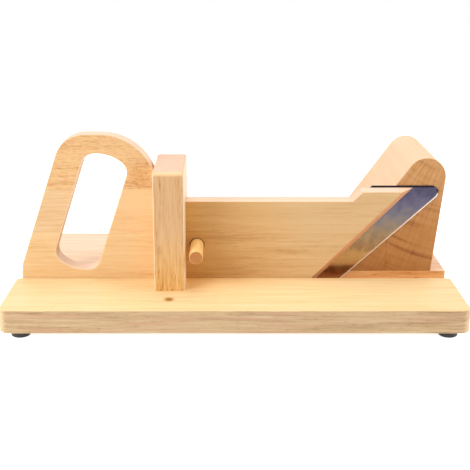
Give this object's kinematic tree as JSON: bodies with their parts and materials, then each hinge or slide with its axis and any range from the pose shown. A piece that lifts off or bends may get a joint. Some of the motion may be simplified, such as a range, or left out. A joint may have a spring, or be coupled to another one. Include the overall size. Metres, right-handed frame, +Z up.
{
  "type": "food guillotine",
  "caption": "Wooden slicer for dry sausage: a handled carriage with a slanted blade slides in a grooved base, through a gate, past an anvil block.",
  "frame": {"origin": "on the floor plane under the middle of the base board", "axes": "+X along the groove towards the blade and the anvil block, +Y from the user to the back, +Z up"},
  "size_m": [0.4, 0.226, 0.162],
  "materials": {
    "base_wood": "oiled rubberwood panel",
    "gate_wood": "oiled rubberwood, upright grain",
    "block_wood": "oiled rubberwood, end grain to the front",
    "carriage_wood": "oiled rubberwood, three glued staves",
    "peg_wood": "turned beech dowel",
    "blade_steel": "polished stainless strip, ground edge",
    "screw_steel": "zinc-plated screws",
    "washer_steel": "zinc-plated washers",
    "foot_rubber": "matt moulded rubber"
  },
  "bodies": {
    "base": {"base_board": "base_wood", "gate": "gate_wood", "anvil_block": "block_wood", "foot_front_left": "foot_rubber", "foot_front_right": "foot_rubber", "foot_rear_left": "foot_rubber", "foot_rear_right": "foot_rubber", "foot_washer_front_left": "washer_steel", "foot_washer_front_right": "washer_steel", "foot_washer_rear_left": "washer_steel", "foot_washer_rear_right": "washer_steel", "foot_screw_front_left": "screw_steel", "foot_screw_front_right": "screw_steel", "foot_screw_rear_left": "screw_steel", "foot_screw_rear_right": "screw_steel", "gate_screw_front": "screw_steel", "gate_screw_middle": "screw_steel", "gate_screw_rear": "screw_steel", "block_screw_front_left": "screw_steel", "block_screw_front_right": "screw_steel", "block_screw_rear_left": "screw_steel", "block_screw_rear_right": "screw_steel"},
    "carriage": {"carriage_board": "carriage_wood", "blade": "blade_steel", "blade_screw_lower": "screw_steel", "blade_screw_middle": "screw_steel", "blade_screw_upper": "screw_steel"},
    "peg": {"lock_peg": "peg_wood"}
  },
  "joints": [
    {"name": "carriage_slide", "type": "slide", "parent": "base", "child": "carriage", "axis": [-1, 0, 0], "range_m": [0, 0.15]},
    {"name": "peg_pull", "type": "slide", "parent": "base", "child": "peg", "axis": [0, -1, 0], "range_m": [0, 0.075]}
  ],
  "couplings": [
    {"joint": "peg_pull", "follows": "carriage_slide", "ratio": 0.5}
  ]
}
